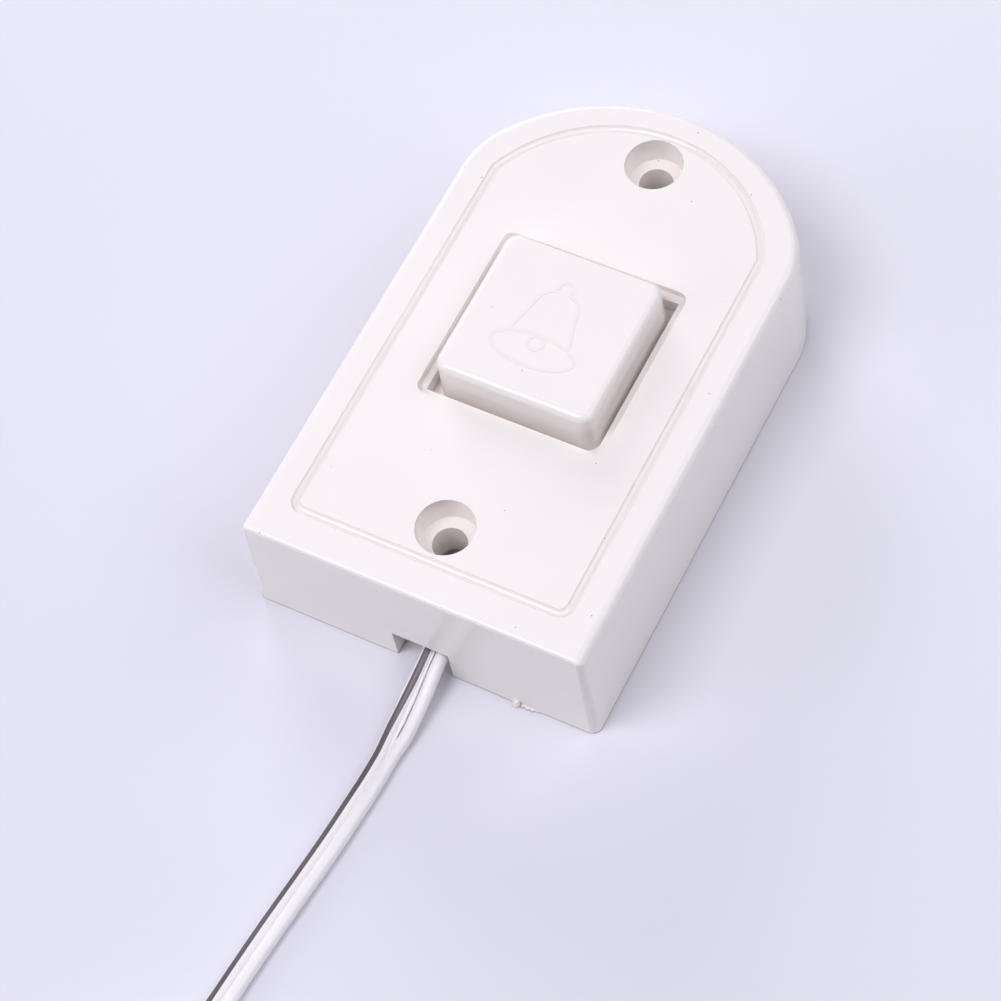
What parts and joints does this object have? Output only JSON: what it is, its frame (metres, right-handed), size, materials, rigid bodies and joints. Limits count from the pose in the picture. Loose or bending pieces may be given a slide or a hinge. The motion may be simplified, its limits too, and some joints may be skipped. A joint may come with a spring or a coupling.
{
  "type": "doorbell push",
  "caption": "Arched wall doorbell push with a square sprung button, counterbored screw holes, screw terminals and a flat twin lead that ends in a tied coil.",
  "frame": {"origin": "middle of the housing's flat back, on the wall or table", "axes": "+Z out of the front face, +Y from the cable end to the arched end, +X to the right seen from the front"},
  "size_m": [0.0616, 0.1823, 0.0219],
  "materials": {
    "housing_white": "moulded white ABS, semi-gloss",
    "button_white": "moulded white ABS, semi-gloss",
    "plate_white": "moulded white ABS, fine matte",
    "spring_steel": "drawn spring wire",
    "contact_brass": "stamped brass",
    "contact_silver": "silvered contact rivets",
    "zinc_steel": "zinc-plated steel",
    "cord_pvc": "extruded white PVC with a dark stripe on one core",
    "copper": "bare copper",
    "tie_nylon": "natural nylon",
    "tinned_copper": "tinned copper strands"
  },
  "bodies": {
    "housing": {"front_housing": "housing_white", "return_spring": "spring_steel", "contact_strip_left": "contact_brass", "contact_strip_right": "contact_brass", "fixed_contacts": "contact_silver", "terminal_screws": "zinc_steel", "terminal_washers": "zinc_steel", "back_plate": "plate_white", "back_plate_screws": "zinc_steel", "lead_left": "cord_pvc", "lead_right": "cord_pvc", "lead_conductors": "copper", "cord_cores": "cord_pvc", "cord_run": "cord_pvc", "cord_coil": "cord_pvc", "coil_tie": "tie_nylon", "cord_tail": "cord_pvc", "tail_conductors": "tinned_copper"},
    "button": {"button_cap": "button_white", "contact_bridge": "contact_brass", "bridge_contacts": "contact_silver"}
  },
  "joints": [
    {"name": "button_press", "type": "slide", "parent": "housing", "child": "button", "axis": [0, 0, -1], "range_m": [0, 0.002], "stiffness_N_per_m": 400, "springref_m": -0.002, "deforming": ["return_spring"]}
  ]
}
